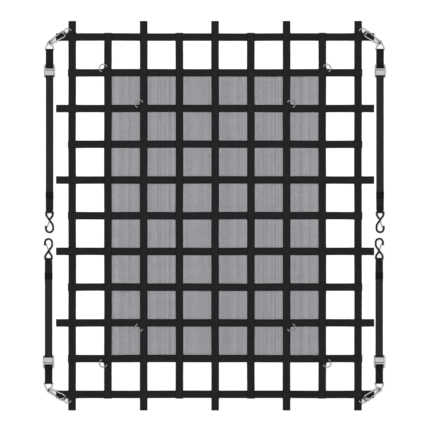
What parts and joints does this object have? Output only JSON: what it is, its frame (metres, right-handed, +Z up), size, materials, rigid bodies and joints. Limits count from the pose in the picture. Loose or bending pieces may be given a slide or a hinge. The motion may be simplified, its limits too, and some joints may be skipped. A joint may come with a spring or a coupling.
{
  "type": "cargo net",
  "caption": "Flat cargo net for a pickup bed: a square grid of webbing over a mesh panel, with D-rings and corner cam-buckle straps ending in S-hooks.",
  "frame": {"origin": "middle of the underside of the net as it lies flat, at the surface that it lies on", "axes": "+Z up; +Y along the bed, towards the top of the picture; +X across the bed, towards its right"},
  "size_m": [1.721, 1.9628, 0.0269],
  "materials": {
    "webbing": "matt woven polyester",
    "mesh_cloth": "open vinyl-coated mesh",
    "zinc_steel": "bright zinc plate",
    "vinyl": "dipped vinyl on steel"
  },
  "bodies": {
    "net": {"border": "webbing", "buckle_lower_left": "zinc_steel", "buckle_lower_right": "zinc_steel", "buckle_upper_left": "zinc_steel", "buckle_upper_right": "zinc_steel", "carabiner_lower_left": "zinc_steel", "carabiner_lower_right": "zinc_steel", "carabiner_upper_left": "zinc_steel", "carabiner_upper_right": "zinc_steel", "column_1": "webbing", "column_2": "webbing", "column_3": "webbing", "column_4": "webbing", "column_5": "webbing", "column_6": "webbing", "column_7": "webbing", "delta_lower_left": "zinc_steel", "delta_lower_right": "zinc_steel", "delta_upper_left": "zinc_steel", "delta_upper_right": "zinc_steel", "hook_lower_left": "vinyl", "hook_lower_right": "vinyl", "hook_upper_left": "vinyl", "hook_upper_right": "vinyl", "mesh": "mesh_cloth", "ring_corner_lower_left": "zinc_steel", "ring_corner_lower_right": "zinc_steel", "ring_corner_upper_left": "zinc_steel", "ring_corner_upper_right": "zinc_steel", "ring_inner_lower_left": "zinc_steel", "ring_inner_lower_right": "zinc_steel", "ring_inner_upper_left": "zinc_steel", "ring_inner_upper_right": "zinc_steel", "ring_outer_lower_left": "zinc_steel", "ring_outer_lower_right": "zinc_steel", "ring_outer_upper_left": "zinc_steel", "ring_outer_upper_right": "zinc_steel", "row_1": "webbing", "row_2": "webbing", "row_3": "webbing", "row_4": "webbing", "row_5": "webbing", "row_6": "webbing", "row_7": "webbing", "row_8": "webbing", "row_9": "webbing", "webbing_lower_left": "webbing", "webbing_lower_right": "webbing", "webbing_upper_left": "webbing", "webbing_upper_right": "webbing"},
    "gate_lower_left": {"gate_lower_left": "zinc_steel"},
    "gate_lower_right": {"gate_lower_right": "zinc_steel"},
    "gate_upper_left": {"gate_upper_left": "zinc_steel"},
    "gate_upper_right": {"gate_upper_right": "zinc_steel"},
    "lever_lower_left": {"lever_lower_left": "zinc_steel"},
    "lever_lower_right": {"lever_lower_right": "zinc_steel"},
    "lever_upper_left": {"lever_upper_left": "zinc_steel"},
    "lever_upper_right": {"lever_upper_right": "zinc_steel"}
  },
  "joints": [
    {"name": "gate_upper_left_hinge", "type": "hinge", "parent": "net", "child": "gate_upper_left", "pos_m": [-0.8224, 0.88145, 0.01206], "axis": [0.2511, -0.4144, -0.8748], "range_deg": [0, 22], "stiffness_Nm_per_rad": 0.05, "springref_deg": -17.19},
    {"name": "gate_upper_right_hinge", "type": "hinge", "parent": "net", "child": "gate_upper_right", "pos_m": [0.82776, 0.88135, 0.01122], "axis": [0.2681, 0.3985, 0.8771], "range_deg": [0, 22], "stiffness_Nm_per_rad": 0.05, "springref_deg": -17.19},
    {"name": "gate_lower_left_hinge", "type": "hinge", "parent": "net", "child": "gate_lower_left", "pos_m": [-0.82644, -0.88797, 0.01177], "axis": [-0.2046, -0.4181, 0.8851], "range_deg": [0, 22], "stiffness_Nm_per_rad": 0.05, "springref_deg": -17.19},
    {"name": "gate_lower_right_hinge", "type": "hinge", "parent": "net", "child": "gate_lower_right", "pos_m": [0.82584, -0.88438, 0.00915], "axis": [-0.2882, 0.3672, -0.8844], "range_deg": [0, 22], "stiffness_Nm_per_rad": 0.05, "springref_deg": -17.19},
    {"name": "lever_upper_left_hinge", "type": "hinge", "parent": "net", "child": "lever_upper_left", "pos_m": [-0.83, 0.7106, 0.012], "axis": [-1, 0, 0], "range_deg": [0, 18], "stiffness_Nm_per_rad": 1.2, "springref_deg": -11.46},
    {"name": "lever_upper_right_hinge", "type": "hinge", "parent": "net", "child": "lever_upper_right", "pos_m": [0.835, 0.7108, 0.012], "axis": [-1, 0, 0], "range_deg": [0, 18], "stiffness_Nm_per_rad": 1.2, "springref_deg": -11.46},
    {"name": "lever_lower_left_hinge", "type": "hinge", "parent": "net", "child": "lever_lower_left", "pos_m": [-0.835, -0.718, 0.012], "axis": [1, 0, 0], "range_deg": [0, 18], "stiffness_Nm_per_rad": 1.2, "springref_deg": -11.46},
    {"name": "lever_lower_right_hinge", "type": "hinge", "parent": "net", "child": "lever_lower_right", "pos_m": [0.831, -0.7169, 0.012], "axis": [1, 0, 0], "range_deg": [0, 18], "stiffness_Nm_per_rad": 1.2, "springref_deg": -11.46}
  ]
}
